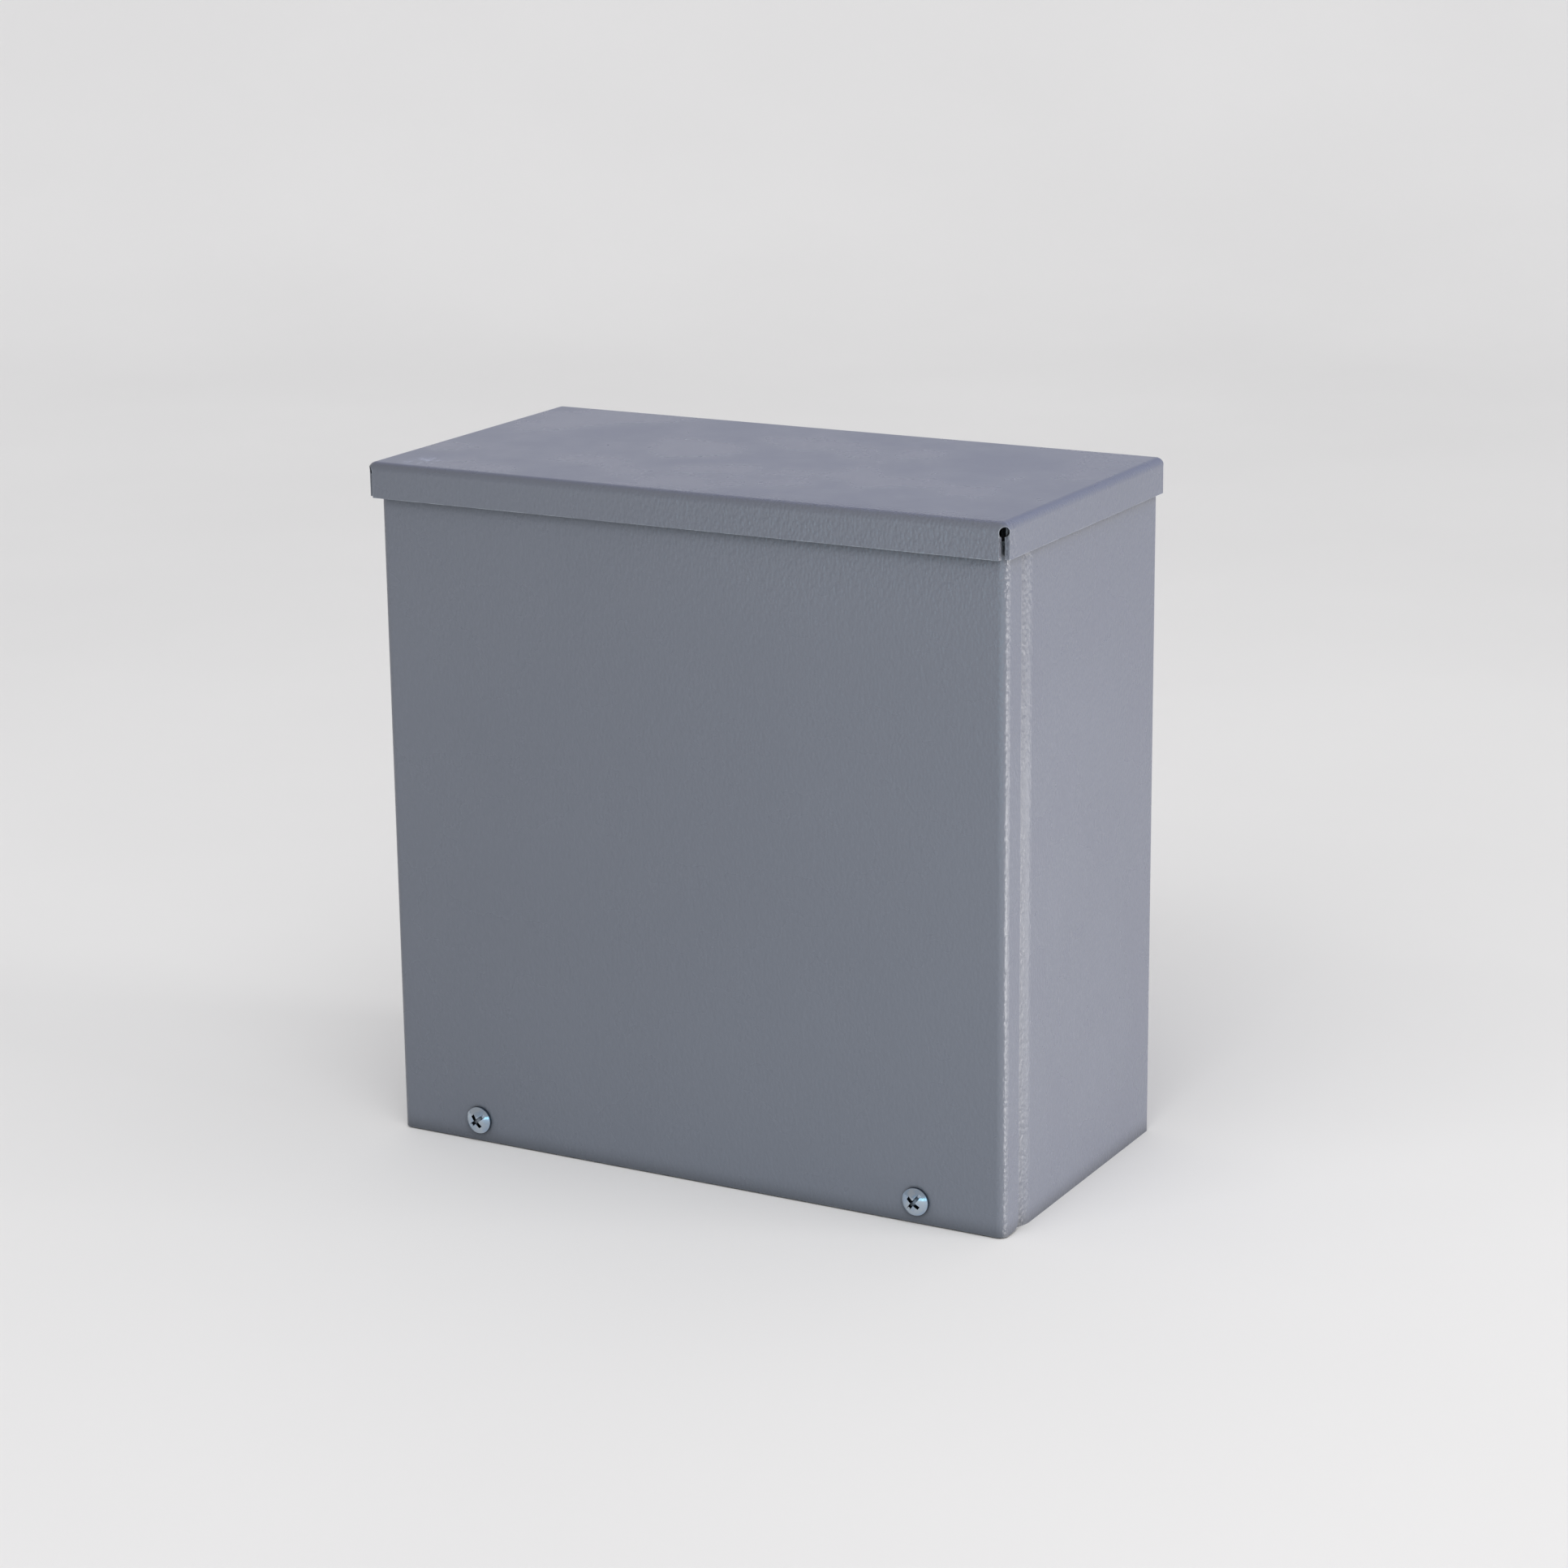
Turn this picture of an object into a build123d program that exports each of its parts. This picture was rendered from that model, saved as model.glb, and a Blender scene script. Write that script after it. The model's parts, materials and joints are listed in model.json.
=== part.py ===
from build123d import *
import os

# Rainproof sheet-steel disconnect box with a pull-out switch inside.
# Millimetres. X runs across the front, Y runs back into the wall, Z is up.
# The box stands on its lower edges at Z = 0 and is centred on X = 0.

# ---------------------------------------------------------------- enclosure
sheet = 1.5
box_w = 203.2
box_h = 204.7
box_d = 101.6
back_bend_r = 3.0

# Front edges of the sides step inwards, so that the cover's flanges lie over them.
lip_depth = 9.6
joggle_run = 4.7
joggle_inner_r = 1.5
joggle_outer_r = 8.0

# Drip hood, folded from one blank with open corners.
hood_drop = 10.4
hood_reach = 4.2
hood_bend_r = 2.4
hood_seat_gap = 0.1
hood_corner_relief = 2.2
hood_relief_top = 1.2
hood_edge_margin = 0.01

# Slip-on cover.
cover_lip_gap = 0.2
cover_hood_gap = 0.3
cover_bend_r = 2.6
cover_flange_depth = 9.3
cover_tuck = 4.5
cover_foot_gap = 0.5
cover_corner_r = 3.0

# Cover screws, held captive behind the cover by push-on rings.
cover_screw_inset = 28.0
cover_screw_rise = 6.5
screw_head_r = 4.1
screw_head_rim = 0.9
screw_head_h = 2.3
screw_shank_r = 1.65
screw_length = 8.0
screw_point = 0.6
screw_hole_gap = 0.55
slot_w = 1.0
slot_depth = 0.8
cross_span = 4.4
cross_depth = 1.5
cross_w = 1.1
left_screw_turn = 38.0
right_screw_turn = 52.0
retainer_r = 3.6
retainer_t = 0.8
retainer_notch_r = 0.7
retainer_notches = 6
retainer_play = 0.3
retainer_fit = 0.05
lip_clearance = 0.5

# Bottom pan.
pan_gap = 0.1
pan_flange_h = 12.0
pan_lip_h = 14.0
pan_joggle_margin = 8.0
pan_flange_end = 6.0
knockout_cut = 0.6
knockout_tie = 3.0
knockout_pitch = 58.0
knockout_rings = ((22.2,), (28.6, 22.2), (34.9, 28.6))

# Wall feet pressed out of the back.
foot_inset = 25.4
foot_proud = 3.0
foot_base_r = 14.0
foot_top_r = 10.5
foot_wall_relief = 0.6
foot_hole_r = 3.55

# ----------------------------------------------------------------- interior
# Hat-shaped bracket that carries the switch base.
bracket_stand = 12.0
bracket_screw_margin = 5.5
bracket_end_inset = 5.0
bracket_foot = 12.0
bracket_bend_r = 2.5

# Moulded base: a floor, a tower with four jaw pockets, and barriers.
base_end_margin = 4.0
base_floor = 4.0
base_rise = 10.0
tower_wall = 4.0
tower_depth = 28.0
pole_x = 21.0
pocket_w = 16.0
pocket_play = 3.0
pocket_mid = 15.5
barrier_t = 3.0
barrier_h = 22.0
barrier_boss_gap = 3.9
side_wall_t = 2.0
side_wall_h = 16.0
moulding_r = 1.0
peg_r = 2.5
peg_short = 3.5
peg_end_inset = 8.0
tail_clearance = 0.4

# Current path.
strap_w = 12.0
strap_t = 1.6
strap_inner_inset = 1.0
strap_overhang = 2.0
blade_t = 2.0
blade_w = 12.0
blade_bar = 8.0
blade_tip_gap = 1.5
blade_tip_chamfer = 0.6
jaw_t = 1.0
jaw_fit = 0.05
jaw_reach = 17.6
jaw_flare = 1.6
jaw_flare_run = 2.2

# Box lugs and their set screws.
lug_w = 16.0
lug_h = 22.0
lug_d = 18.0
lug_tower_gap = 5.0
lug_bore_r = 5.2
lug_bore_floor = 2.5
lug_chamfer = 1.0
lug_screw_r = 4.0
lug_screw_fit = 0.1
lug_screw_l = 8.0
lug_screw_proud = 1.5
lug_slot_w = 1.4
lug_slot_depth = 2.4

# Screws that hold the base and the ground bar.
base_screw_gap = 1.4
base_screw_end_inset = 12.0
base_screw_l = 9.0
base_screw_turn = 35.0
thread_fit = 0.05

# Pull-out head.
head_gap = 0.5
head_side = 14.0
head_h = 50.0
head_t = 14.0
head_edge_r = 2.0
head_front_r = 1.8
grip_w = 54.0
grip_t = 7.0
grip_h = 8.0
grip_rib_t = 1.2
grip_ribs = 5
grip_rib_pitch = 9.0
finger_w = 56.0
finger_h = 11.0
finger_depth = 5.0
blade_fit = 0.1
pin_r = 1.5
pin_recess = 1.0
pin_overlap = 10.5

# Deadfront shield over the lugs.
shield_overhang = 6.0
shield_t = 2.0
shield_gap = 0.5
shield_window_gap = 1.0
shield_skirt = 14.0
shield_boss_wall = 1.5
shield_boss_l = 16.0
shield_peg_fit = 0.1
shield_probe_r = 4.5
shield_corner_r = 5.0

# Ground bar.
bar_w = 10.0
bar_d = 9.0
bar_side_gap = 22.0
bar_pitch = 12.0
bar_wires = 4
bar_end = 7.0
bar_foot_gap = 6.0
bar_wire_r = 2.7
bar_screw_r = 2.0
bar_screw_l = 5.2
bar_head_r = 3.6
bar_head_h = 2.6
bar_screw_fit = 0.1
bar_head_stand = 0.6
bar_slot_w = 1.0
bar_slot_depth = 1.3
bar_screw_turn = 40.0
bar_mount_r = 1.65
bar_mount_point = 1.2
bar_mount_turn = 30.0

# ------------------------------------------------------------ derived places
lip_inset = sheet + cover_lip_gap + cover_hood_gap
front_y = hood_reach - (box_d + hood_reach + foot_proud) / 2
back_y = front_y + box_d
inner_back_y = back_y - sheet
side_x = box_w / 2
lip_x = side_x - lip_inset
cover_x = lip_x + cover_lip_gap + sheet

pan_lip_y = front_y + sheet + retainer_play + retainer_t + lip_clearance
hood_top_z = box_h + hood_seat_gap + sheet
hood_low_z = hood_top_z - hood_drop
cover_top_z = hood_low_z + cover_tuck
cover_screw_x = side_x - cover_screw_inset
cover_screw_z = cover_foot_gap + cover_screw_rise

foot_x = box_w / 2 - foot_inset
foot_pitch_z = box_h - 2 * foot_inset
middle_z = box_h / 2

# The base grows outwards from the poles: pockets, lugs, base screws and walls in turn.
pocket_h = blade_w + pocket_play
tower_h = 2 * (pocket_mid + pocket_h / 2 + tower_wall)
lug_z = tower_h / 2 + lug_tower_gap + lug_h / 2
strap_inner_z = pocket_mid - pocket_h / 2 + strap_inner_inset
strap_outer_z = lug_z + lug_h / 2 + strap_overhang
base_screw_x = pole_x + lug_w / 2 + base_screw_gap + screw_head_r
base_w = 2 * (base_screw_x + screw_head_r + base_screw_gap + side_wall_t)
base_h = 2 * (strap_outer_z + base_end_margin)
base_screw_z = base_h / 2 - base_screw_end_inset
peg_z = base_h / 2 - peg_end_inset
peg_h = tower_depth - peg_short
shield_boss_r = peg_r + shield_peg_fit + shield_boss_wall
barrier_len = peg_z - shield_boss_r - barrier_boss_gap - tower_h / 2
bracket_w = 2 * (base_screw_x + bracket_screw_margin)
bracket_h = base_h - 2 * bracket_end_inset
head_w = 2 * (pole_x + head_side)
shield_w = base_w + 2 * shield_overhang
shield_h = base_h + 2 * shield_overhang

base_z = middle_z + base_rise
base_back_y = inner_back_y - bracket_stand
floor_y = base_back_y - base_floor
tower_y = floor_y - tower_depth
strap_y = floor_y - strap_t
jaw_back_y = strap_y - jaw_t
lug_front_y = strap_y - lug_d
head_back_y = tower_y - head_gap
head_front_y = head_back_y - head_t
blade_tip_y = jaw_back_y - blade_tip_gap
shield_back_y = tower_y - shield_gap

bar_x = side_x - sheet - bar_side_gap - bar_w / 2
bar_len = 2 * bar_end + (bar_wires + 1) * bar_pitch
bar_low_z = foot_inset + foot_base_r + bar_foot_gap
bar_z = bar_low_z + bar_len / 2
bar_front_y = inner_back_y - bar_d

poles = {"left": -1, "right": 1}
ends = {"line": 1, "load": -1}
BACKWARD = (Align.CENTER, Align.CENTER, Align.MAX)
FORWARD = (Align.CENTER, Align.CENTER, Align.MIN)


def facing_front(y, x=0, z=0):
    """Plane at depth y whose local X is across, local Y is up and normal points to the front."""
    return Plane(origin=(x, y, z), x_dir=(1, 0, 0), z_dir=(0, -1, 0))


def facing_back(y, x=0, z=0):
    """Plane at depth y whose normal points to the wall."""
    return Plane(origin=(x, y, z), x_dir=(-1, 0, 0), z_dir=(0, 1, 0))


def wrapper_path(start_y):
    """Outer line of the sides and back, from the left front lip round to the right."""
    step_y = front_y + lip_depth
    full_y = step_y + joggle_run
    FilletPolyline(
        (-lip_x, start_y),
        (-lip_x, step_y),
        (-side_x, full_y),
        (-side_x, back_y),
        (side_x, back_y),
        (side_x, full_y),
        (lip_x, step_y),
        (lip_x, start_y),
        radius=(
            joggle_inner_r,
            joggle_outer_r,
            back_bend_r,
            back_bend_r,
            joggle_outer_r,
            joggle_inner_r,
        ),
    )


def save(builder, name):
    """Label a finished piece and write it as its own STEP file."""
    builder.part.label = name
    export_step(builder.part, f"parts/{name}.step")


def pan_head_screw(plane, turn, length, shank_r, head_r, head_rim, head_h, point):
    """Pan-head screw seated on a plane, its head along the normal, with a slot and a cross."""
    dome_h = head_h - head_rim
    dome_r = (head_r**2 + dome_h**2) / (2 * dome_h)
    half_way = head_h - dome_r + (dome_r**2 - (head_r / 2) ** 2) ** 0.5
    with BuildPart() as screw:
        with BuildSketch(Plane.XZ):
            with BuildLine():
                Polyline(
                    (0, head_h),
                    (0, -length),
                    (shank_r - point, -length),
                    (shank_r, point - length),
                    (shank_r, 0),
                    (head_r, 0),
                    (head_r, head_rim),
                )
                ThreePointArc((head_r, head_rim), (head_r / 2, half_way), (0, head_h))
            make_face()
        revolve(axis=Axis.Z)
        with Locations(Location((0, 0, head_h), (0, 0, turn))):
            Box(2 * head_r, slot_w, 2 * slot_depth, mode=Mode.SUBTRACT)
            Box(cross_span, cross_w, 2 * cross_depth, mode=Mode.SUBTRACT)
            Box(cross_w, cross_span, 2 * cross_depth, mode=Mode.SUBTRACT)
    return plane.location * screw.part


os.makedirs("parts", exist_ok=True)

# ------------------------------------------------------------------- wrapper
# Sides and back in one strip, bent twice, with joggled front lips and pressed feet.
with BuildPart() as body_wrapper:
    with BuildSketch():
        with BuildLine():
            wrapper_path(pan_lip_y)
            offset(amount=sheet, side=Side.RIGHT)
        make_face()
    extrude(amount=box_h)
    with Locations(facing_back(back_y, 0, middle_z)):
        with GridLocations(2 * foot_x, foot_pitch_z, 2, 2):
            Cone(foot_base_r, foot_top_r, foot_proud, align=FORWARD)
    with Locations(facing_back(inner_back_y, 0, middle_z)):
        with GridLocations(2 * foot_x, foot_pitch_z, 2, 2):
            Cone(
                foot_base_r - foot_wall_relief,
                foot_top_r - foot_wall_relief,
                foot_proud,
                align=FORWARD,
                mode=Mode.SUBTRACT,
            )
            Hole(foot_hole_r, sheet + foot_proud)
    with Locations(facing_back(back_y, bar_x, bar_z)):
        with GridLocations(bar_pitch, bar_len - 2 * bar_end, 1, 2):
            Hole(bar_mount_r + thread_fit, sheet)
save(body_wrapper, "body_wrapper")

# -------------------------------------------------------------------- bottom
# Pan that closes the bottom: flanges on three sides and a lip behind the cover.
with BuildPart() as bottom_panel:
    with BuildSketch():
        with BuildLine():
            wrapper_path(pan_lip_y - sheet - pan_gap)
            Line((lip_x, pan_lip_y - sheet - pan_gap), (-lip_x, pan_lip_y - sheet - pan_gap))
        make_face()
        offset(amount=-(sheet + pan_gap), kind=Kind.INTERSECTION)
    extrude(amount=sheet)
    pan_side_x = side_x - sheet - pan_gap
    pan_back_y = inner_back_y - pan_gap
    pan_start_y = front_y + lip_depth + joggle_run + pan_joggle_margin
    flange_len = pan_back_y - pan_flange_end - pan_start_y
    for side in (-1, 1):
        with BuildSketch():
            with Locations((side * (pan_side_x - sheet / 2), pan_start_y + flange_len / 2)):
                Rectangle(sheet, flange_len)
        extrude(amount=pan_flange_h)
    with BuildSketch():
        with Locations((0, pan_back_y - sheet / 2)):
            Rectangle(2 * (pan_side_x - pan_flange_end), sheet)
    extrude(amount=pan_flange_h)
    lip_half = lip_x - sheet - pan_gap
    with BuildSketch():
        with Locations((0, pan_lip_y + sheet / 2)):
            Rectangle(2 * lip_half, sheet)
    extrude(amount=pan_lip_h)
    with Locations(facing_front(pan_lip_y, 0, cover_screw_z)):
        with GridLocations(2 * cover_screw_x, 1, 2, 1):
            Hole(screw_shank_r + screw_hole_gap, sheet)
    for column, rings in enumerate(knockout_rings):
        with BuildSketch():
            with Locations(((column - 1) * knockout_pitch, (pan_lip_y + pan_back_y) / 2)):
                for ring, diameter in enumerate(rings):
                    Circle(diameter / 2 + knockout_cut / 2)
                    Circle(diameter / 2 - knockout_cut / 2, mode=Mode.SUBTRACT)
                    tie_span = diameter + 4 * knockout_cut
                    Rectangle(tie_span, knockout_tie, rotation=90 * ring, mode=Mode.SUBTRACT)
        extrude(amount=sheet, mode=Mode.SUBTRACT)
save(bottom_panel, "bottom_panel")

# ---------------------------------------------------------------------- hood
# Drip hood: a top with four flanges.
hood_w = box_w + 2 * sheet
hood_front_y = front_y - hood_reach
hood_len = back_y + sheet - hood_front_y
hood_mid_y = hood_front_y + hood_len / 2
with BuildPart() as hood:
    with BuildSketch(Plane.XY.offset(hood_low_z)):
        with Locations((0, hood_mid_y)):
            RectangleRounded(hood_w, hood_len, hood_bend_r)
    extrude(amount=hood_drop)
    # A hair under the corner radius, so that the rounded corner doesn't end in a point.
    fillet(hood.faces().sort_by(Axis.Z)[-1].edges(), hood_bend_r - hood_edge_margin)
    with BuildSketch(Plane.XY.offset(hood_low_z)):
        with Locations((0, hood_mid_y)):
            RectangleRounded(hood_w - 2 * sheet, hood_len - 2 * sheet, hood_bend_r - sheet)
    extrude(amount=hood_drop - sheet, mode=Mode.SUBTRACT)
    # Each corner stays open: a square relief under a half-round top that faces outwards.
    relief_arch_r = hood_corner_relief / 2**0.5
    relief_z = hood_top_z - hood_relief_top - relief_arch_r
    for across in (-1, 1):
        for along in (-1, 1):
            corner = (across * hood_w / 2, hood_mid_y + along * hood_len / 2, relief_z)
            with Locations(corner):
                Box(
                    2 * hood_corner_relief,
                    2 * hood_corner_relief,
                    2 * hood_drop,
                    align=BACKWARD,
                    mode=Mode.SUBTRACT,
                )
            with Locations(Location(corner, (90, -45 * across * along, 0))):
                Cylinder(relief_arch_r, 4 * relief_arch_r, mode=Mode.SUBTRACT)
save(hood, "hood")

# --------------------------------------------------------------------- cover
# Slip-on cover: a face with two side flanges, its top edge tucked behind the hood.
cover_rear_y = front_y + cover_flange_depth
with BuildPart() as front_cover:
    with BuildSketch(Plane.XY.offset(cover_foot_gap)):
        with BuildLine():
            FilletPolyline(
                (-cover_x, cover_rear_y),
                (-cover_x, front_y),
                (cover_x, front_y),
                (cover_x, cover_rear_y),
                radius=cover_bend_r,
            )
            offset(amount=sheet, side=Side.LEFT)
        make_face()
    extrude(amount=cover_top_z - cover_foot_gap)
    rear_edges = front_cover.edges().filter_by(Axis.X).group_by(Axis.Y)[-1]
    fillet(rear_edges.group_by(Axis.Z)[0], cover_corner_r)
    with Locations(facing_front(front_y, 0, cover_screw_z)):
        with GridLocations(2 * cover_screw_x, 1, 2, 1):
            Hole(screw_shank_r + screw_hole_gap, sheet)
save(front_cover, "front_cover")

for name, side, turn in (("left", -1, left_screw_turn), ("right", 1, right_screw_turn)):
    seat = facing_front(front_y, side * cover_screw_x, cover_screw_z)
    with BuildPart() as cover_screw:
        add(
            pan_head_screw(
                seat,
                turn,
                screw_length,
                screw_shank_r,
                screw_head_r,
                screw_head_rim,
                screw_head_h,
                screw_point,
            )
        )
    save(cover_screw, f"cover_screw_{name}")

    ring_y = front_y + sheet + retainer_play
    with BuildPart() as retainer:
        with BuildSketch(facing_back(ring_y, side * cover_screw_x, cover_screw_z)):
            Circle(retainer_r)
            Circle(screw_shank_r + retainer_fit, mode=Mode.SUBTRACT)
            with PolarLocations(retainer_r, retainer_notches):
                Circle(retainer_notch_r, mode=Mode.SUBTRACT)
        extrude(amount=retainer_t)
    save(retainer, f"screw_retainer_{name}")

# ------------------------------------------------------------------- bracket
# Hat section spot-welded to the back.
with BuildPart() as mounting_bracket:
    with BuildSketch(Plane.XY.offset(base_z - bracket_h / 2)):
        with BuildLine():
            hat_x = bracket_w / 2
            FilletPolyline(
                (-hat_x - bracket_foot, inner_back_y),
                (-hat_x + sheet, inner_back_y),
                (-hat_x + sheet, base_back_y + sheet),
                (hat_x - sheet, base_back_y + sheet),
                (hat_x - sheet, inner_back_y),
                (hat_x + bracket_foot, inner_back_y),
                radius=(
                    bracket_bend_r,
                    bracket_bend_r - sheet,
                    bracket_bend_r - sheet,
                    bracket_bend_r,
                ),
            )
            offset(amount=sheet, side=Side.RIGHT)
        make_face()
    extrude(amount=bracket_h)
    with Locations(facing_front(base_back_y, 0, base_z)):
        with GridLocations(2 * base_screw_x, 2 * base_screw_z, 2, 2):
            Hole(screw_shank_r + thread_fit, sheet)
save(mounting_bracket, "mounting_bracket")

# ---------------------------------------------------------------- switch base
with BuildPart() as pullout_base:
    with BuildSketch(facing_front(base_back_y, 0, base_z)):
        RectangleRounded(base_w, base_h, side_wall_t)
    extrude(amount=base_floor)
    # Tower, with a pocket for each jaw open to the front.
    with BuildSketch(facing_front(floor_y, 0, base_z)):
        Rectangle(base_w, tower_h)
    extrude(amount=tower_depth)
    fillet(pullout_base.faces().sort_by(Axis.Y)[0].edges(), moulding_r)
    with BuildSketch(facing_front(floor_y, 0, base_z)):
        with GridLocations(2 * pole_x, 2 * pocket_mid, 2, 2):
            Rectangle(pocket_w, pocket_h)
    extrude(amount=tower_depth, mode=Mode.SUBTRACT)
    # The straps leave the pockets through slots at floor level.
    with BuildSketch(facing_front(floor_y, 0, base_z)):
        with GridLocations(2 * pole_x, tower_h, 2, 2):
            Rectangle(strap_w + 2 * tail_clearance, tower_h - 2 * pocket_mid)
    extrude(amount=strap_t + tail_clearance, mode=Mode.SUBTRACT)
    # Barrier between the poles and a wall along each side.
    barrier_mid = tower_h / 2 + barrier_len / 2
    with BuildSketch(facing_front(floor_y, 0, base_z)):
        with GridLocations(1, 2 * barrier_mid, 1, 2):
            Rectangle(barrier_t, barrier_len)
    extrude(amount=barrier_h)
    with BuildSketch(facing_front(floor_y, 0, base_z)):
        with GridLocations(base_w - side_wall_t, 1, 2, 1):
            Rectangle(side_wall_t, base_h - 2 * side_wall_t)
    extrude(amount=side_wall_h)
    # Pegs that the shield pushes on to.
    with BuildSketch(facing_front(floor_y, 0, base_z)):
        with GridLocations(1, 2 * peg_z, 1, 2):
            Circle(peg_r)
    extrude(amount=peg_h)
    with Locations(facing_front(floor_y, 0, base_z)):
        with GridLocations(2 * base_screw_x, 2 * base_screw_z, 2, 2):
            Hole(screw_shank_r + tail_clearance, base_floor)
save(pullout_base, "pullout_base")

with BuildPart() as base_screws:
    for count, (across, up) in enumerate(((-1, -1), (-1, 1), (1, -1), (1, 1))):
        add(
            pan_head_screw(
                facing_front(floor_y, across * base_screw_x, base_z + up * base_screw_z),
                count * base_screw_turn,
                base_screw_l,
                screw_shank_r,
                screw_head_r,
                screw_head_rim,
                screw_head_h,
                screw_point,
            )
        )
save(base_screws, "base_screws")

# --------------------------------------------------------------- current path
jaw_gap = blade_t + 2 * jaw_fit
strap_len = strap_outer_z - strap_inner_z
for pole, across in poles.items():
    for end, up in ends.items():
        x = across * pole_x

        with BuildPart() as contact_strap:
            with BuildSketch(facing_front(floor_y, x, base_z + up * (strap_inner_z + strap_len / 2))):
                RectangleRounded(strap_w, strap_len, strap_t)
            extrude(amount=strap_t)
        save(contact_strap, f"contact_strap_{end}_{pole}")

        # Spring jaw: two leaves on a web, flared open at the mouth.
        mouth_y = jaw_back_y - jaw_reach + jaw_t
        with BuildPart() as spring_jaw:
            with BuildSketch(Plane.XY.offset(base_z + up * pocket_mid - blade_w / 2)):
                with BuildLine():
                    Polyline(
                        (x - jaw_gap / 2 - jaw_flare, mouth_y - jaw_flare_run),
                        (x - jaw_gap / 2, mouth_y),
                        (x - jaw_gap / 2, jaw_back_y),
                        (x + jaw_gap / 2, jaw_back_y),
                        (x + jaw_gap / 2, mouth_y),
                        (x + jaw_gap / 2 + jaw_flare, mouth_y - jaw_flare_run),
                    )
                    offset(amount=jaw_t, side=Side.LEFT)
                make_face()
            extrude(amount=blade_w)
        save(spring_jaw, f"spring_jaw_{end}_{pole}")

        # Box lug: a cable bore along Z and a screw entering from the front.
        lug_mid_z = base_z + up * lug_z
        with BuildPart() as lug:
            with BuildSketch(facing_front(strap_y, x, lug_mid_z)):
                Rectangle(lug_w, lug_h)
            extrude(amount=lug_d)
            chamfer(lug.faces().sort_by(Axis.Y)[0].edges(), lug_chamfer)
            bore_y = strap_y - lug_bore_floor - lug_bore_r
            with Locations((x, bore_y, lug_mid_z)):
                Hole(lug_bore_r, lug_h)
            with BuildSketch(facing_front(lug_front_y, x, lug_mid_z)):
                Circle(lug_screw_r + lug_screw_fit)
            extrude(amount=-(lug_d - lug_bore_floor - lug_bore_r), mode=Mode.SUBTRACT)
        save(lug, f"lug_{end}_{pole}")

        with BuildPart() as lug_screw:
            with BuildSketch(facing_front(lug_front_y - lug_screw_proud, x, lug_mid_z)):
                Circle(lug_screw_r)
            extrude(amount=-lug_screw_l)
            chamfer(lug_screw.edges().filter_by(GeomType.CIRCLE), screw_point)
            with Locations(facing_front(lug_front_y - lug_screw_proud, x, lug_mid_z)):
                Box(2 * lug_screw_r, lug_slot_w, 2 * lug_slot_depth, mode=Mode.SUBTRACT)
        save(lug_screw, f"lug_screw_{end}_{pole}")

# -------------------------------------------------------------- pull-out head
head_plane = facing_front(head_back_y, 0, base_z)
with BuildPart() as pullout_head:
    with BuildSketch(head_plane):
        RectangleRounded(head_w, head_h, head_edge_r)
    extrude(amount=head_t)
    fillet(pullout_head.faces().sort_by(Axis.Y)[0].edges(), head_front_r)
    # Finger recesses on both sides of the grip.
    with BuildSketch(facing_front(head_front_y, 0, base_z)):
        with GridLocations(1, grip_t + finger_h, 1, 2):
            SlotOverall(finger_w, finger_h)
    extrude(amount=-finger_depth, mode=Mode.SUBTRACT)
    with BuildSketch(facing_front(head_front_y + finger_depth, 0, base_z)):
        Rectangle(grip_w, grip_t)
    extrude(amount=grip_h + finger_depth)
    grip_front = pullout_head.faces().sort_by(Axis.Y)[0]
    fillet(grip_front.edges(), moulding_r)
    # Ribs under the fingertips.
    rib_z = grip_t / 2
    with Locations(facing_front(head_front_y - grip_h / 2, 0, base_z)):
        with GridLocations(grip_rib_pitch, 2 * rib_z, grip_ribs, 2):
            Box(grip_rib_t, grip_rib_t, grip_h - 2 * moulding_r)
    # Pockets for the two blades, open at the back, and the pin holes through them.
    with BuildSketch(head_plane):
        with GridLocations(2 * pole_x, 1, 2, 1):
            Rectangle(blade_t + 2 * blade_fit, 2 * pocket_mid + blade_w + 2 * blade_fit)
    extrude(amount=blade_bar + blade_fit, mode=Mode.SUBTRACT)
    pin_y = head_back_y - blade_bar / 2
    with Locations(Location((0, pin_y, base_z), (0, 90, 0))):
        Hole(pin_r, head_w)
save(pullout_head, "pullout_head")

for pole, across in poles.items():
    x = across * pole_x
    prong_mid_y = (head_back_y + blade_tip_y) / 2
    with BuildPart() as blade:
        # Copper link: a bar in the head and a prong for each jaw.
        with BuildSketch(Plane.YZ.offset(x - blade_t / 2)):
            with Locations((head_back_y - blade_bar / 2, base_z)):
                Rectangle(blade_bar, 2 * pocket_mid + blade_w)
            with Locations((prong_mid_y, base_z - pocket_mid), (prong_mid_y, base_z + pocket_mid)):
                Rectangle(blade_tip_y - head_back_y, blade_w)
            with Locations((pin_y, base_z)):
                Circle(pin_r + blade_fit, mode=Mode.SUBTRACT)
        extrude(amount=blade_t)
        tips = blade.faces().group_by(Axis.Y)[-1].edges().filter_by(Axis.Z)
        chamfer(tips, blade_tip_chamfer)
    save(blade, f"blade_{pole}")

with BuildPart() as head_pins:
    for across in poles.values():
        inner = pole_x - pin_overlap
        outer = head_w / 2 - pin_recess
        with Locations(Location((across * (inner + outer) / 2, pin_y, base_z), (0, 90, 0))):
            Cylinder(pin_r, outer - inner)
save(head_pins, "head_pins")

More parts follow.
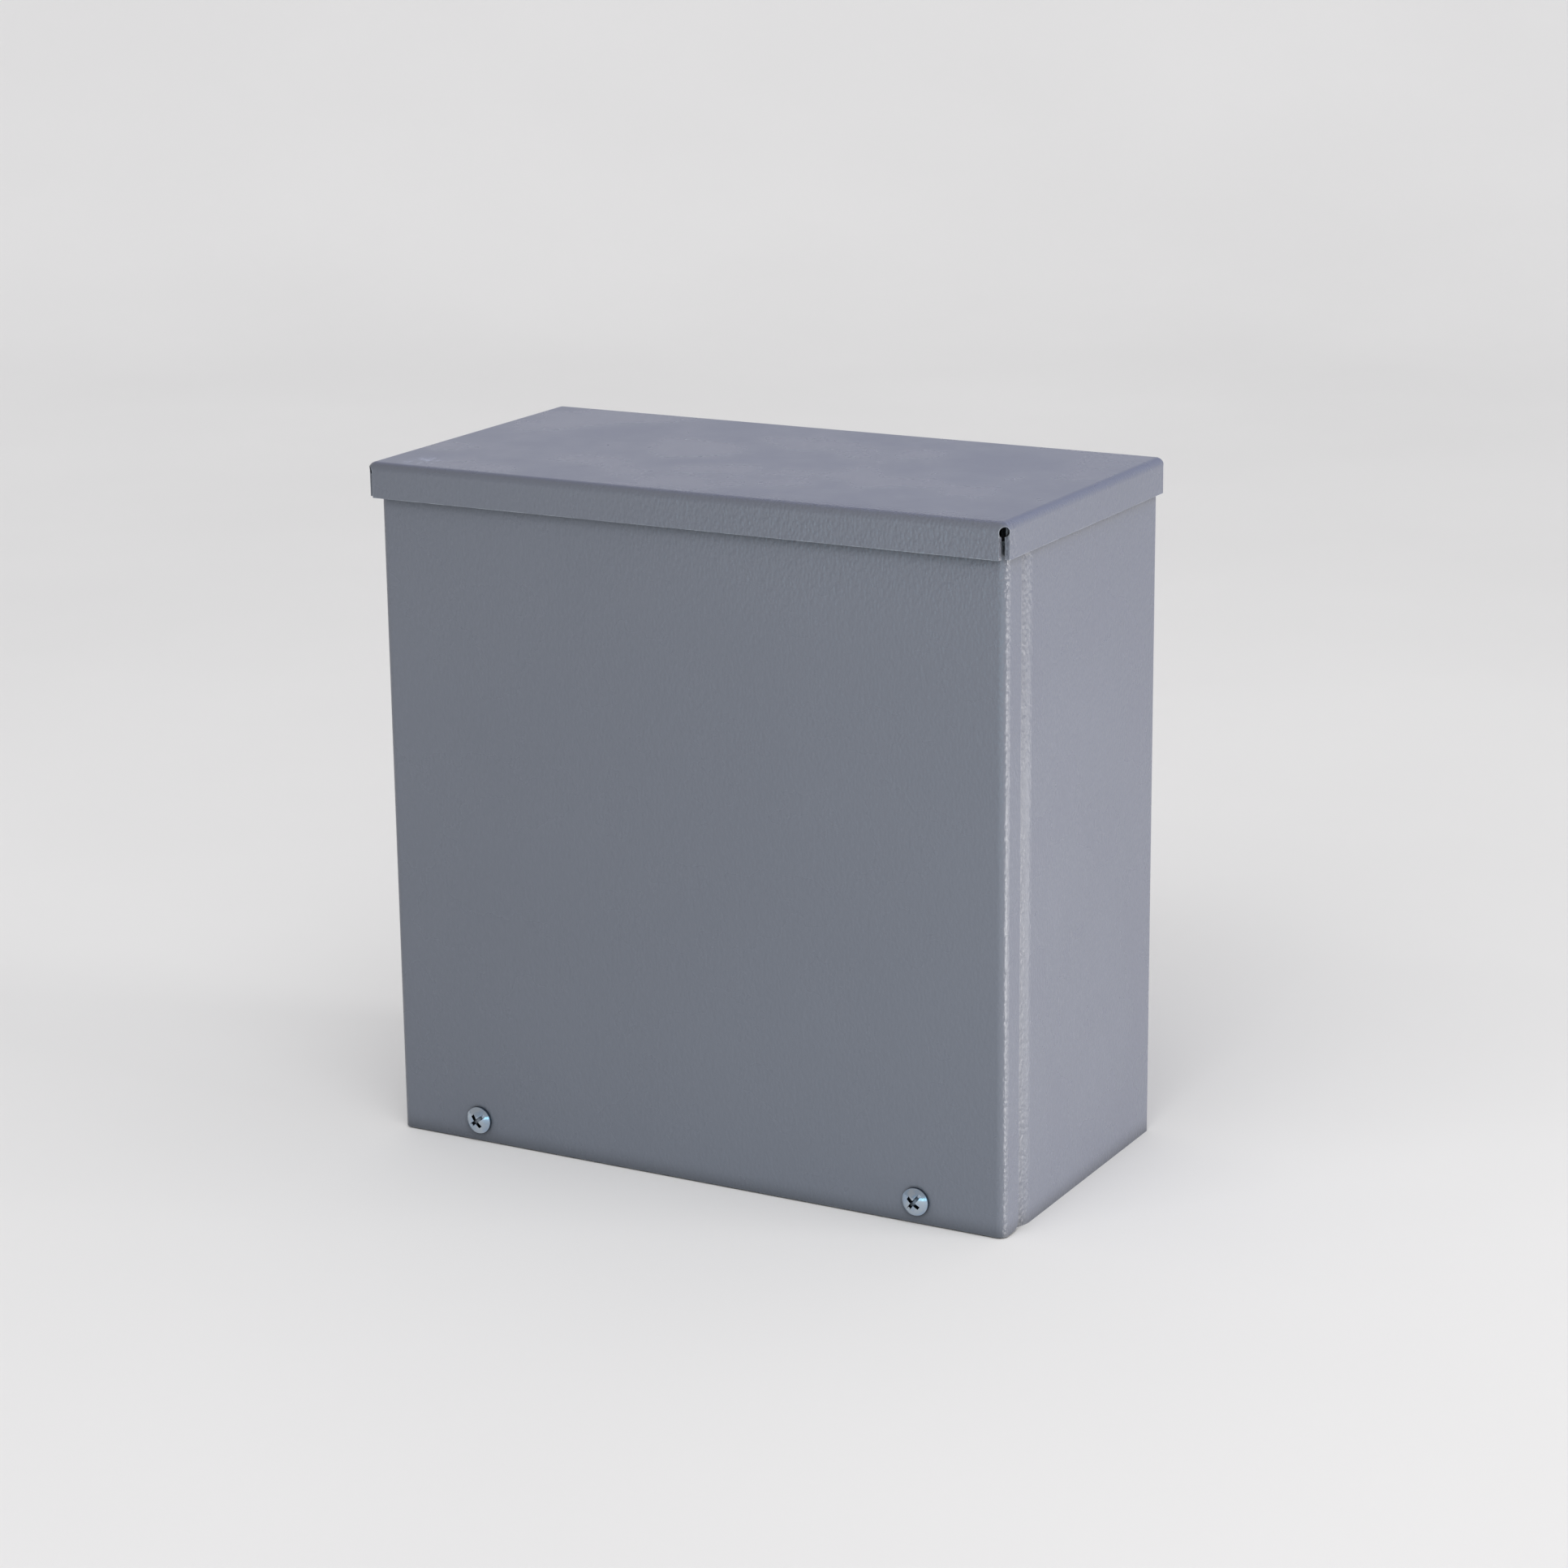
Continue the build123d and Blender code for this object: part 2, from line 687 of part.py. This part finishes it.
# --------------------------------------------------------------------- shield
with BuildPart() as deadfront_shield:
    with BuildSketch(facing_front(shield_back_y, 0, base_z)):
        RectangleRounded(shield_w, shield_h, shield_corner_r)
    extrude(amount=shield_t)
    fillet(deadfront_shield.faces().sort_by(Axis.Y)[0].edges(), moulding_r)
    skirt_x = shield_w / 2 - shield_t / 2
    with BuildSketch(facing_front(shield_back_y, 0, base_z)):
        with GridLocations(2 * skirt_x, 1, 2, 1):
            Rectangle(shield_t, shield_h - 2 * shield_corner_r)
    extrude(amount=-shield_skirt)
    boss_r = peg_r + shield_peg_fit
    with BuildSketch(facing_front(shield_back_y, 0, base_z)):
        with GridLocations(1, 2 * peg_z, 1, 2):
            Circle(shield_boss_r)
            Circle(boss_r, mode=Mode.SUBTRACT)
    extrude(amount=-shield_boss_l)
    with BuildSketch(facing_front(shield_back_y + moulding_r, 0, base_z)):
        RectangleRounded(
            head_w + 2 * shield_window_gap,
            head_h + 2 * shield_window_gap,
            head_edge_r + shield_window_gap,
        )
        with GridLocations(2 * pole_x, 2 * lug_z, 2, 2):
            Circle(shield_probe_r)
    extrude(amount=2 * shield_t, mode=Mode.SUBTRACT)
save(deadfront_shield, "deadfront_shield")

# ----------------------------------------------------------------- ground bar
first_wire = bar_pitch * (bar_wires - 1) / 2
with BuildPart() as ground_bar:
    with BuildSketch(facing_front(inner_back_y, bar_x, bar_z)):
        Rectangle(bar_w, bar_len)
    extrude(amount=bar_d)
    chamfer(ground_bar.faces().sort_by(Axis.Y)[0].edges(), lug_chamfer / 2)
    wire_y = inner_back_y - bar_d / 2
    for wire in range(bar_wires):
        with Locations(Location((bar_x, wire_y, bar_z - first_wire + wire * bar_pitch), (0, 90, 0))):
            Hole(bar_wire_r, bar_w)
    with BuildSketch(facing_front(bar_front_y, bar_x, bar_z)):
        with GridLocations(1, bar_pitch, 1, bar_wires):
            Circle(bar_screw_r + bar_screw_fit)
    extrude(amount=-bar_d / 2, mode=Mode.SUBTRACT)
    with Locations(facing_front(bar_front_y, bar_x, bar_z)):
        with GridLocations(1, bar_len - 2 * bar_end, 1, 2):
            Hole(bar_mount_r + thread_fit, bar_d)
save(ground_bar, "ground_bar")

for wire in range(bar_wires):
    screw_z = bar_z - first_wire + wire * bar_pitch
    with BuildPart() as bar_screw:
        with BuildSketch(facing_front(bar_front_y - bar_head_stand, bar_x, screw_z)):
            Circle(bar_head_r)
        extrude(amount=bar_head_h)
        head_top = bar_screw.faces().sort_by(Axis.Y)[0]
        fillet(head_top.edges(), screw_point)
        with BuildSketch(facing_front(bar_front_y - bar_head_stand, bar_x, screw_z)):
            Circle(bar_screw_r)
        extrude(amount=-bar_screw_l)
        slot_y = bar_front_y - bar_head_stand - bar_head_h
        with Locations(facing_front(slot_y, bar_x, screw_z)):
            with Locations(Rotation(0, 0, wire * bar_screw_turn)):
                Box(2 * bar_head_r, bar_slot_w, 2 * bar_slot_depth, mode=Mode.SUBTRACT)
    save(bar_screw, f"ground_screw_{wire + 1}")

with BuildPart() as bar_mount_screws:
    for end in (-1, 1):
        add(
            pan_head_screw(
                facing_front(bar_front_y, bar_x, bar_z + end * (bar_len / 2 - bar_end)),
                end * bar_mount_turn,
                bar_d + sheet + bar_mount_point,
                bar_mount_r,
                bar_head_r,
                screw_head_rim,
                screw_head_h,
                screw_point,
            )
        )
save(bar_mount_screws, "bar_mount_screws")
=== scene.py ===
import json
import math

import bpy
from mathutils import Matrix, Vector

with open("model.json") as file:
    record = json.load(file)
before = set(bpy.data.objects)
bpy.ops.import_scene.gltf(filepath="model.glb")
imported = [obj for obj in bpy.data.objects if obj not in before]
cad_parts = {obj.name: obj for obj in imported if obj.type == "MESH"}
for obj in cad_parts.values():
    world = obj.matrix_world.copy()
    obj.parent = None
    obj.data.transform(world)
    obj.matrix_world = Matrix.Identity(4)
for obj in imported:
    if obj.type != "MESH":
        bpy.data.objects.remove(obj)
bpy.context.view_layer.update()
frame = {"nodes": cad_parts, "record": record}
NODES = frame["nodes"]
MM = 0.001
SCUFF_CENTRE = (-0.088, -0.045, 0.2063)
VIEW_TURN = math.radians(28.8)
MIDDLE = (0, 0, 0.1)


# ----------------------------------------------------------------- node helpers
class Shader:
    """A material under construction: short calls that add and link nodes."""

    def __init__(self, name):
        self.material = bpy.data.materials.new(name)
        self.material.use_nodes = True
        self.tree = self.material.node_tree
        self.bsdf = self.tree.nodes["Principled BSDF"]
        self.place = self.add("ShaderNodeTexCoord").outputs["Object"]

    def add(self, kind, **settings):
        node = self.tree.nodes.new(kind)
        for key, value in settings.items():
            setattr(node, key, value)
        return node

    def put(self, value, socket):
        """Link a socket, or set a plain value."""
        if isinstance(value, bpy.types.NodeSocket):
            self.tree.links.new(value, socket)
        else:
            socket.default_value = value

    def math(self, operation, a, b=0.0):
        node = self.add("ShaderNodeMath", operation=operation)
        self.put(a, node.inputs[0])
        self.put(b, node.inputs[1])
        return node.outputs[0]

    def span(self, value, low, high, to_low=0.0, to_high=1.0):
        """Map low..high to to_low..to_high, clamped, with soft ends."""
        node = self.add("ShaderNodeMapRange", interpolation_type="SMOOTHSTEP")
        for socket, item in zip(node.inputs, (value, low, high, to_low, to_high)):
            self.put(item, socket)
        return node.outputs[0]

    def mix(self, amount, a, b, blend="MIX"):
        """Mix two colours."""
        node = self.add("ShaderNodeMix", data_type="RGBA", blend_type=blend)
        self.put(amount, node.inputs[0])
        self.put(a, node.inputs[6])
        self.put(b, node.inputs[7])
        return node.outputs[2]

    def stretch(self, scale):
        """Object coordinates scaled by a different amount along each axis."""
        node = self.add("ShaderNodeMapping")
        self.put(self.place, node.inputs["Vector"])
        node.inputs["Scale"].default_value = scale
        return node.outputs[0]

    def axis(self, index):
        """One object coordinate in metres: 0 is X, 1 is Y, 2 is Z."""
        split = self.add("ShaderNodeSeparateXYZ")
        self.put(self.place, split.inputs[0])
        return split.outputs[index]

    def near(self, point, full, none):
        """1 within `full` metres of a point, 0 beyond `none`."""
        away = self.add("ShaderNodeVectorMath", operation="DISTANCE")
        self.put(self.place, away.inputs[0])
        away.inputs[1].default_value = point
        return self.span(away.outputs["Value"], full, none, 1.0, 0.0)

    def leather(self, wander, scale):
        """Object coordinates pushed up to `wander` metres by a slow noise, then scaled by axis."""
        pushed = self.add("ShaderNodeVectorMath", operation="MULTIPLY_ADD")
        self.put(self.noise(260, 2), pushed.inputs[0])
        pushed.inputs[1].default_value = (wander, wander, wander)
        self.put(self.place, pushed.inputs[2])
        node = self.add("ShaderNodeMapping")
        self.put(pushed.outputs[0], node.inputs["Vector"])
        node.inputs["Scale"].default_value = scale
        return node.outputs[0]

    def noise(self, scale, detail=2.0, roughness=0.5, place=None, distortion=0.0):
        node = self.add("ShaderNodeTexNoise")
        self.put(place or self.place, node.inputs["Vector"])
        node.inputs["Scale"].default_value = scale
        node.inputs["Detail"].default_value = detail
        node.inputs["Roughness"].default_value = roughness
        node.inputs["Distortion"].default_value = distortion
        return node.outputs["Fac"]

    def cells(self, scale, feature="SMOOTH_F1", smoothness=0.6, place=None, output="Distance"):
        node = self.add("ShaderNodeTexVoronoi", feature=feature)
        self.put(place or self.place, node.inputs["Vector"])
        node.inputs["Scale"].default_value = scale
            # Plain F1 cells have no smoothness socket to set.
        if feature == "SMOOTH_F1":
            node.inputs["Smoothness"].default_value = smoothness
        return node.outputs[output]

    def edges(self, radius, low=0.02, high=0.25):
        """1 along sharp outside edges and corners, 0 on flats."""
        rounded = self.add("ShaderNodeBevel", samples=6)
        rounded.inputs["Radius"].default_value = radius
        true_normal = self.add("ShaderNodeNewGeometry").outputs["True Normal"]
        dot = self.add("ShaderNodeVectorMath", operation="DOT_PRODUCT")
        self.put(rounded.outputs[0], dot.inputs[0])
        self.put(true_normal, dot.inputs[1])
        return self.span(self.math("SUBTRACT", 1.0, dot.outputs["Value"]), low, high)

    def hollows(self, distance):
        """1 in the open, towards 0 in narrow gaps and corners."""
        node = self.add("ShaderNodeAmbientOcclusion", samples=8)
        node.inputs["Distance"].default_value = distance
        return node.outputs["AO"]

    def bump(self, height, distance, strength=1.0, below=None):
        node = self.add("ShaderNodeBump")
        node.inputs["Strength"].default_value = strength
        node.inputs["Distance"].default_value = distance
        self.put(height, node.inputs["Height"])
        if below is not None:
            self.put(below, node.inputs["Normal"])
        return node.outputs[0]

    def finish(self, color, roughness, normal, metallic=0.0, specular=0.5):
        self.put(color, self.bsdf.inputs["Base Color"])
        self.put(roughness, self.bsdf.inputs["Roughness"])
        self.bsdf.inputs["Metallic"].default_value = metallic
        self.bsdf.inputs["Specular IOR Level"].default_value = specular
        self.put(normal, self.bsdf.inputs["Normal"])
        return self.material


def rgb(red, green, blue):
    """A linear colour from 0-255 display values."""
    def linear(level):
        level = level / 255
        return level / 12.92 if level <= 0.04045 else ((level + 0.055) / 1.055) ** 2.4
    return (linear(red), linear(green), linear(blue), 1.0)


# -------------------------------------------------------------------- materials
def powder_coat():
    """Grey powder coat: fine leather grain, painted shade in gaps and corners, one rubbed mark and pale
    edges that are partly wear and partly a painted highlight.
    """
    s = Shader("enclosure_paint")
    # Pebbles are taller than wide, and lie under a finer wrinkle.
    skin = s.leather(0.0011, (1.0, 1.0, 0.55))
    pebbles = s.cells(1150, smoothness=0.45, place=skin)
    wrinkle = s.noise(1500, 2, 0.6, place=skin)
    grain = s.math("ADD", s.math("MULTIPLY", pebbles, -0.75), s.math("MULTIPLY", wrinkle, 0.5))
    # The grain is coarse on the right of the hood's front flange, and calm on the hood's flat top.
    flange = s.math("MULTIPLY", s.span(s.axis(2), 0.165, 0.2), s.span(s.axis(0), -0.06, 0.05))
    coarse = s.math("MULTIPLY", flange, s.span(s.axis(1), -0.052, -0.046, 1.0, 0.0))
    calm = s.span(s.axis(2), 0.2052, 0.2062, 0.85, 0.12)
    grain = s.math("MULTIPLY", grain, s.math("ADD", s.math("MULTIPLY", coarse, 1.7), calm))

    base = s.mix(s.span(s.noise(9, 3), 0.35, 0.65), rgb(109, 111, 120), rgb(111, 113, 122))
    base = s.mix(s.span(pebbles, 0.35, 0.75, 0.0, 0.04), base, rgb(96, 100, 110))
    # Pale sharp edges: partly wear, partly a painted highlight for the light caught on rounded rims and
    # bends.
    wear_and_edge_highlight = s.math("MULTIPLY", s.edges(0.0005), s.span(s.noise(160, 4), 0.40, 0.62, 0.25, 1.0))
    base = s.mix(s.math("MULTIPLY", wear_and_edge_highlight, 0.45), base, rgb(204, 208, 214))
    # Painted shade: the coat darkens nearly to black in narrow gaps and corners, such as under the
    # hood's front edge and around the screw heads.
    painted_gap_shade = s.span(s.hollows(0.009), 0.2, 0.9, 0.92, 0.0)
    base = s.mix(painted_gap_shade, base, rgb(26, 27, 30))
    scratches = s.span(s.noise(420, 5, 0.7, place=s.stretch((1, 0.4, 1))), 0.47, 0.62)
    scuff = s.math("MULTIPLY", s.near(SCUFF_CENTRE, 0.003, 0.009), scratches)
    base = s.mix(s.math("MULTIPLY", scuff, 0.45), base, rgb(190, 192, 198))

    rough = s.span(s.noise(40, 4), 0.3, 0.7, 0.25, 0.32)
    waves = s.bump(s.noise(26, 1), 0.0006, 0.2)
    normal = s.bump(grain, 0.00016, 0.8, below=waves)
    return s.finish(base, rough, normal, specular=0.5)


def zinc(name):
    """Bright zinc plate: fine turning lines, a faint blue cast and painted shade darkening the hollows.
    """
    s = Shader(name)
    streak = s.noise(900, 3, 0.6, place=s.stretch((1, 0.15, 1)))
    tint = s.mix(s.span(s.noise(420, 3), 0.35, 0.65), rgb(168, 186, 206), rgb(186, 196, 206))
    # Painted shade: the plating darkens to a dark blue-grey in the head's recess and in narrow gaps.
    tint = s.mix(s.span(s.hollows(0.002), 0.35, 0.95, 0.9, 0.0), tint, rgb(30, 36, 44))
    rough = s.span(streak, 0.3, 0.7, 0.14, 0.26)
    normal = s.bump(s.math("ADD", streak, s.noise(2600, 2)), 0.00002, 0.5)
    return s.finish(tint, rough, normal, metallic=1.0)


def galvanised():
    """Hot-dip galvanised sheet: spangle in flat crystals of slightly different grey."""
    s = Shader("galvanised")
    crystal = s.cells(190, feature="F1", output="Color")
    split = s.add("ShaderNodeSeparateColor")
    s.put(crystal, split.inputs[0])
    shade = s.mix(split.outputs[0], rgb(158, 162, 167), rgb(188, 191, 194))
    shade = s.mix(s.span(s.noise(900, 4), 0.45, 0.7, 0.0, 0.4), shade, rgb(132, 136, 141))
    rough = s.span(split.outputs[1], 0.0, 1.0, 0.28, 0.5)
    normal = s.bump(s.noise(1500, 3), 0.00003, 0.5)
    return s.finish(shade, rough, normal, metallic=0.9)


def moulding(name, dark, light, rough_low, rough_high, grain_depth):
    """Moulded plastic: fine spark-eroded grain, flow marks and edges rubbed lighter."""
    s = Shader(name)
    flow = s.noise(35, 3, 0.55, place=s.stretch((1, 1, 0.35)), distortion=0.6)
    tint = s.mix(s.span(flow, 0.35, 0.65), dark, light)
    rubbed = s.math("MULTIPLY", s.edges(0.0005), s.span(s.noise(300, 3), 0.4, 0.65))
    tint = s.mix(s.math("MULTIPLY", rubbed, 0.4), tint, rgb(92, 92, 94))
    dust = s.span(s.noise(700, 4, 0.7), 0.60, 0.78, 0.0, 0.25)
    tint = s.mix(dust, tint, rgb(84, 83, 80))
    rough = s.span(s.noise(120, 4), 0.3, 0.7, rough_low, rough_high)
    normal = s.bump(s.noise(3200, 2), grain_depth, 0.7)
    return s.finish(tint, rough, normal, specular=0.5)


def plated_metal(name, bright, dull, rough_low, rough_high, direction, metallic=1.0):
    """Drawn or stamped metal: lines along one axis, a blotchy tone, darker in hollows and gaps, and
    bright rubbed edges.
    """
    s = Shader(name)
    lines = s.noise(1400, 3, 0.65, place=s.stretch(direction))
    tint = s.mix(s.span(s.noise(150, 4), 0.38, 0.68), bright, dull)
    tint = s.mix(s.math("MULTIPLY", s.edges(0.0004), 0.5), tint, bright)
    # The colour darkens towards a brown-grey in hollows and narrow gaps.
    tint = s.mix(s.span(s.hollows(0.003), 0.2, 0.8, 0.5, 0.0), tint, rgb(70, 66, 62))
    rough = s.span(lines, 0.3, 0.7, rough_low, rough_high)
    normal = s.bump(lines, 0.00002, 0.6)
    return s.finish(tint, rough, normal, metallic=metallic)


def pale_floor():
    """Plain pale studio sweep with a very faint mottling."""
    s = Shader("pale_floor")
    tint = s.mix(s.span(s.noise(2.2, 4), 0.3, 0.7), rgb(232, 232, 232), rgb(236, 236, 236))
    return s.finish(tint, 0.8, s.bump(s.noise(180, 3), 0.0004, 0.08), specular=0.1)


# Darkest and lightest colour, roughness range, then grain depth in metres.
MOULDINGS = {
    "base_moulding": (rgb(27, 27, 29), rgb(34, 34, 36), 0.42, 0.58, 0.00003),
    "head_moulding": (rgb(30, 29, 30), rgb(38, 37, 38), 0.26, 0.4, 0.00002),
    "shield_plastic": (rgb(58, 60, 64), rgb(66, 68, 72), 0.38, 0.55, 0.00004),
}
# Bright and dull colour, roughness range, stretch of the drawing lines, then metallic where it isn't 1.
METALS = {
    "spring_steel": (rgb(120, 122, 126), rgb(84, 86, 92), 0.3, 0.5, (1, 1, 0.2)),
    "tinned_copper": (rgb(206, 203, 194), rgb(178, 170, 156), 0.25, 0.45, (1, 1, 0.1)),
    "copper": (rgb(214, 132, 92), rgb(164, 92, 62), 0.22, 0.42, (1, 0.1, 1)),
    "lug_aluminium": (rgb(214, 216, 218), rgb(186, 189, 193), 0.25, 0.42, (1, 1, 0.08)),
    "ground_aluminium": (rgb(218, 220, 222), rgb(192, 195, 198), 0.25, 0.4, (1, 1, 0.08)),
    "ground_green": (rgb(38, 132, 66), rgb(24, 92, 48), 0.25, 0.42, (1, 0.2, 1), 0.7),
}
MATERIALS = {"enclosure_paint": powder_coat(), "galvanised": galvanised()}
for slot in ("zinc_screw", "lug_screw_steel"):
    MATERIALS[slot] = zinc(slot)
for slot, values in MOULDINGS.items():
    MATERIALS[slot] = moulding(slot, *values)
for slot, values in METALS.items():
    MATERIALS[slot] = plated_metal(slot, *values)

for entry in frame["record"]["subparts"]:
    node = NODES[entry["node"]]
    node.data.materials.clear()
    node.data.materials.append(MATERIALS[entry["material_slot"]])


def soften(name, width, segments=2):
    """Round the sharp edges of a CAD node by a width in mm, as paint or moulding leaves them."""
    node = NODES[name]
    bevel = node.modifiers.new("soft_edges", "BEVEL")
    bevel.width = width * MM
    bevel.segments = segments
    bevel.limit_method = "ANGLE"
    bevel.angle_limit = math.radians(40)
    bevel.use_clamp_overlap = True
    bevel.harden_normals = False
    smooth = node.modifiers.new("smooth_normals", "WEIGHTED_NORMAL")
    smooth.keep_sharp = True


soften("hood", 0.5, segments=3)
for sheet_node in ("front_cover", "body_wrapper", "bottom_panel"):
    soften(sheet_node, 0.3)
for moulded_node in ("pullout_head", "pullout_base", "deadfront_shield"):
    soften(moulded_node, 0.35)


# --------------------------------------------------------------------- studio
def sweep(width, depth, back, height, bend_r, steps):
    """Floor that curves up into a backdrop, as one ribbon."""
    line = [(-depth, 0.0), (back - bend_r, 0.0)]
    for step in range(1, steps + 1):
        angle = math.pi / 2 * step / steps
        line.append((back - bend_r + bend_r * math.sin(angle), bend_r - bend_r * math.cos(angle)))
    line.append((back, height))
    points = [(x, y, z) for y, z in line for x in (-width / 2, width / 2)]
    faces = [(2 * i, 2 * i + 1, 2 * i + 3, 2 * i + 2) for i in range(len(line) - 1)]
    mesh = bpy.data.meshes.new("studio_floor")
    mesh.from_pydata(points, [], faces)
    mesh.polygons.foreach_set("use_smooth", [True] * len(mesh.polygons))
    mesh.materials.append(pale_floor())
    piece = bpy.data.objects.new("studio_floor", mesh)
    bpy.context.scene.collection.objects.link(piece)
    return piece


def group(name, pieces):
    """Collection used only to say which pieces a lamp lights or is shaded by."""
    members = bpy.data.collections.new(name)
    for piece in pieces:
        members.objects.link(piece)
    return members


def area_light(name, place, target, size, power, tint, lit, glossy=True):
    """Soft box aimed at a target: it lights one group of pieces, and only the box shades it."""
    lamp = bpy.data.lights.new(name, "AREA")
    lamp.shape = "RECTANGLE"
    lamp.size, lamp.size_y = size
    lamp.energy = power
    lamp.color = tint
    holder = bpy.data.objects.new(name, lamp)
    holder.location = place
    aim = Vector(target) - Vector(place)
    holder.rotation_euler = aim.to_track_quat("-Z", "Y").to_euler()
    holder.visible_camera = False
    holder.visible_glossy = glossy
    bpy.context.scene.collection.objects.link(holder)
    holder.light_linking.receiver_collection = lit
    holder.light_linking.blocker_collection = box_pieces


floor = sweep(width=9.0, depth=4.0, back=2.4, height=4.0, bend_r=1.0, steps=24)
floor.rotation_euler = (0, 0, VIEW_TURN)

box_pieces = group("box_pieces", NODES.values())
floor_only = group("floor_only", [floor])

# The floor: a key that throws the box's shadow to the left, and a soft light in front.
area_light("key_right", (1.14, 0.16, 0.6), MIDDLE, (0.5, 0.8), 4.0, (1.0, 0.985, 0.96), floor_only)
area_light("floor_front", (-0.2, -1.7, 1.3), (0.1, -0.7, 0), (1.6, 1.2), 10.0, (1, 1, 1), floor_only)
# The box: two low lamps draw the highlights on the bend and the joggle, and the rest is soft.
edge_tint = (1.0, 0.98, 0.97)
area_light("edge_right", (1.15, -0.02, -0.225), MIDDLE, (0.5, 0.22), 5.4, edge_tint, box_pieces)
area_light("edge_rear", (1.0, 0.62, -0.22), MIDDLE, (0.35, 0.22), 3.2, edge_tint, box_pieces)
area_light("window_behind", (0.4, 1.2, 1.35), (0, 0, 0.2), (1.8, 1.2), 28.0, (0.2, 0.38, 1.0),
           box_pieces, glossy=False)
area_light("fill_right", (0.36, -0.42, 0.38), MIDDLE, (0.16, 0.24), 1.25, (1, 1, 1),
           box_pieces, glossy=False)
area_light("bounce", (0.3, -0.8, 0.0), (0, 0, 0.03), (1.0, 0.2), 1.5, (0.35, 0.8, 1.0), box_pieces)

wash = bpy.data.lights.new("floor_wash", "SUN")
wash.energy = 1.02
wash.angle = math.radians(50)
wash_holder = bpy.data.objects.new("floor_wash", wash)
wash_holder.rotation_euler = (math.radians(35), 0, VIEW_TURN)
bpy.context.scene.collection.objects.link(wash_holder)
wash_holder.light_linking.receiver_collection = floor_only

world = bpy.data.worlds.new("studio")
world.use_nodes = True
sky = world.node_tree.nodes["Background"]
sky.inputs["Color"].default_value = (1.0, 0.985, 1.0, 1.0)
sky.inputs["Strength"].default_value = 0.46
bpy.context.scene.world = world

# ---------------------------------------------------------------------- camera
lens = bpy.data.cameras.new("camera")
lens.sensor_width = 36.0
lens.lens = 90.1
lens.clip_start = 0.05
lens.clip_end = 50.0
camera = bpy.data.objects.new("camera", lens)
right = Vector((0.87746, 0.47953, -0.01093))
up = Vector((-0.11765, 0.23725, 0.9643))
turn = Matrix((right, up, right.cross(up))).transposed()
camera.matrix_world = Matrix.Translation((0.545, -0.9817, 0.4165)) @ turn.to_4x4()
bpy.context.scene.collection.objects.link(camera)
bpy.context.scene.camera = camera
bpy.context.scene.view_settings.view_transform = "Standard"
